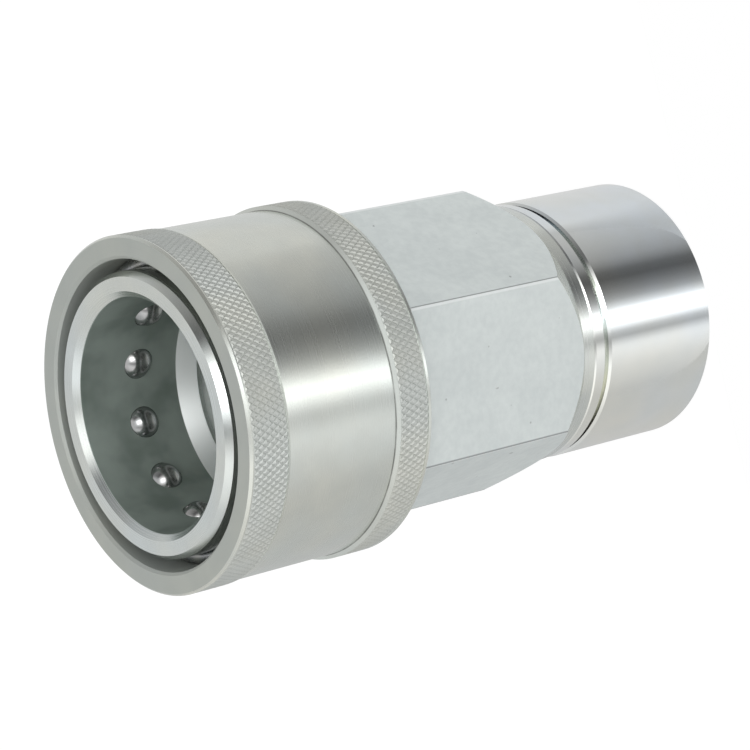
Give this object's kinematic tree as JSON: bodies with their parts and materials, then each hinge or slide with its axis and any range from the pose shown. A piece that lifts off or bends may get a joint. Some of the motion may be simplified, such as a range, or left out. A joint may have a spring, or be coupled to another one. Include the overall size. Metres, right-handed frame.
{
  "type": "hydraulic quick coupling socket",
  "caption": "Female half of a hydraulic quick coupling: knurled sliding sleeve, lock balls round the bore, sprung poppet, wrench hex and threaded round rear.",
  "frame": {"origin": "centre of the rear face, on the coupling axis", "axes": "+Z along the axis from the rear port to the mouth; two hex corners on the X axis, flats facing +Y and -Y"},
  "size_m": [0.053, 0.053, 0.0938],
  "materials": {
    "zinc_body": "zinc plated, satin, turned inside",
    "zinc_adapter": "zinc plated, bright turned",
    "zinc_sleeve": "zinc plated, satin, knurled bands",
    "spring_steel": "drawn wire",
    "valve_steel": "zinc plated, satin",
    "ball_steel": "polished bearing steel",
    "seal_rubber": "black nitrile",
    "backup_plastic": "white fluoropolymer"
  },
  "bodies": {
    "body": {"socket_body": "zinc_body", "rear_adapter": "zinc_adapter", "sleeve_stop_ring": "spring_steel", "probe_seal": "seal_rubber", "probe_backup_ring": "backup_plastic", "poppet_spring": "spring_steel", "poppet_guide": "valve_steel", "body_seal": "seal_rubber"},
    "spring_carrier": {"sleeve_spring": "spring_steel"},
    "sleeve": {"sleeve": "zinc_sleeve"},
    "poppet": {"poppet": "valve_steel", "poppet_seal": "seal_rubber"},
    "lock_ball_01": {"lock_ball_01": "ball_steel"},
    "lock_ball_02": {"lock_ball_02": "ball_steel"},
    "lock_ball_03": {"lock_ball_03": "ball_steel"},
    "lock_ball_04": {"lock_ball_04": "ball_steel"},
    "lock_ball_05": {"lock_ball_05": "ball_steel"},
    "lock_ball_06": {"lock_ball_06": "ball_steel"},
    "lock_ball_07": {"lock_ball_07": "ball_steel"},
    "lock_ball_08": {"lock_ball_08": "ball_steel"},
    "lock_ball_09": {"lock_ball_09": "ball_steel"},
    "lock_ball_10": {"lock_ball_10": "ball_steel"},
    "lock_ball_11": {"lock_ball_11": "ball_steel"},
    "lock_ball_12": {"lock_ball_12": "ball_steel"}
  },
  "joints": [
    {"name": "sleeve_turn", "type": "hinge", "parent": "body", "child": "spring_carrier", "pos_m": [0, 0, 0.0778], "axis": [0, 0, 1], "continuous": true},
    {"name": "sleeve_slide", "type": "slide", "parent": "spring_carrier", "child": "sleeve", "axis": [0, 0, -1], "range_m": [0, 0.006], "stiffness_N_per_m": 4000, "springref_m": -0.008, "deforming": ["sleeve_spring"]},
    {"name": "poppet_slide", "type": "slide", "parent": "body", "child": "poppet", "axis": [0, 0, -1], "range_m": [0, 0.007], "stiffness_N_per_m": 2500, "springref_m": -0.008, "deforming": ["poppet_spring"]},
    {"name": "lock_ball_01_out", "type": "slide", "parent": "body", "child": "lock_ball_01", "axis": [0.9588, 0.284, 0], "range_m": [0, 0.0012]},
    {"name": "lock_ball_02_out", "type": "slide", "parent": "body", "child": "lock_ball_02", "axis": [0.6884, 0.7254, 0], "range_m": [0, 0.0012]},
    {"name": "lock_ball_03_out", "type": "slide", "parent": "body", "child": "lock_ball_03", "axis": [0.2334, 0.9724, 0], "range_m": [0, 0.0012]},
    {"name": "lock_ball_04_out", "type": "slide", "parent": "body", "child": "lock_ball_04", "axis": [-0.284, 0.9588, 0], "range_m": [0, 0.0012]},
    {"name": "lock_ball_05_out", "type": "slide", "parent": "body", "child": "lock_ball_05", "axis": [-0.7254, 0.6884, 0], "range_m": [0, 0.0012]},
    {"name": "lock_ball_06_out", "type": "slide", "parent": "body", "child": "lock_ball_06", "axis": [-0.9724, 0.2334, 0], "range_m": [0, 0.0012]},
    {"name": "lock_ball_07_out", "type": "slide", "parent": "body", "child": "lock_ball_07", "axis": [-0.9588, -0.284, 0], "range_m": [0, 0.0012]},
    {"name": "lock_ball_08_out", "type": "slide", "parent": "body", "child": "lock_ball_08", "axis": [-0.6884, -0.7254, 0], "range_m": [0, 0.0012]},
    {"name": "lock_ball_09_out", "type": "slide", "parent": "body", "child": "lock_ball_09", "axis": [-0.2334, -0.9724, 0], "range_m": [0, 0.0012]},
    {"name": "lock_ball_10_out", "type": "slide", "parent": "body", "child": "lock_ball_10", "axis": [0.284, -0.9588, 0], "range_m": [0, 0.0012]},
    {"name": "lock_ball_11_out", "type": "slide", "parent": "body", "child": "lock_ball_11", "axis": [0.7254, -0.6884, 0], "range_m": [0, 0.0012]},
    {"name": "lock_ball_12_out", "type": "slide", "parent": "body", "child": "lock_ball_12", "axis": [0.9724, -0.2334, 0], "range_m": [0, 0.0012]}
  ],
  "couplings": [
    {"joint": "lock_ball_01_out", "follows": "sleeve_slide", "ratio": 0.2},
    {"joint": "lock_ball_02_out", "follows": "sleeve_slide", "ratio": 0.2},
    {"joint": "lock_ball_03_out", "follows": "sleeve_slide", "ratio": 0.2},
    {"joint": "lock_ball_04_out", "follows": "sleeve_slide", "ratio": 0.2},
    {"joint": "lock_ball_05_out", "follows": "sleeve_slide", "ratio": 0.2},
    {"joint": "lock_ball_06_out", "follows": "sleeve_slide", "ratio": 0.2},
    {"joint": "lock_ball_07_out", "follows": "sleeve_slide", "ratio": 0.2},
    {"joint": "lock_ball_08_out", "follows": "sleeve_slide", "ratio": 0.2},
    {"joint": "lock_ball_09_out", "follows": "sleeve_slide", "ratio": 0.2},
    {"joint": "lock_ball_10_out", "follows": "sleeve_slide", "ratio": 0.2},
    {"joint": "lock_ball_11_out", "follows": "sleeve_slide", "ratio": 0.2},
    {"joint": "lock_ball_12_out", "follows": "sleeve_slide", "ratio": 0.2}
  ]
}
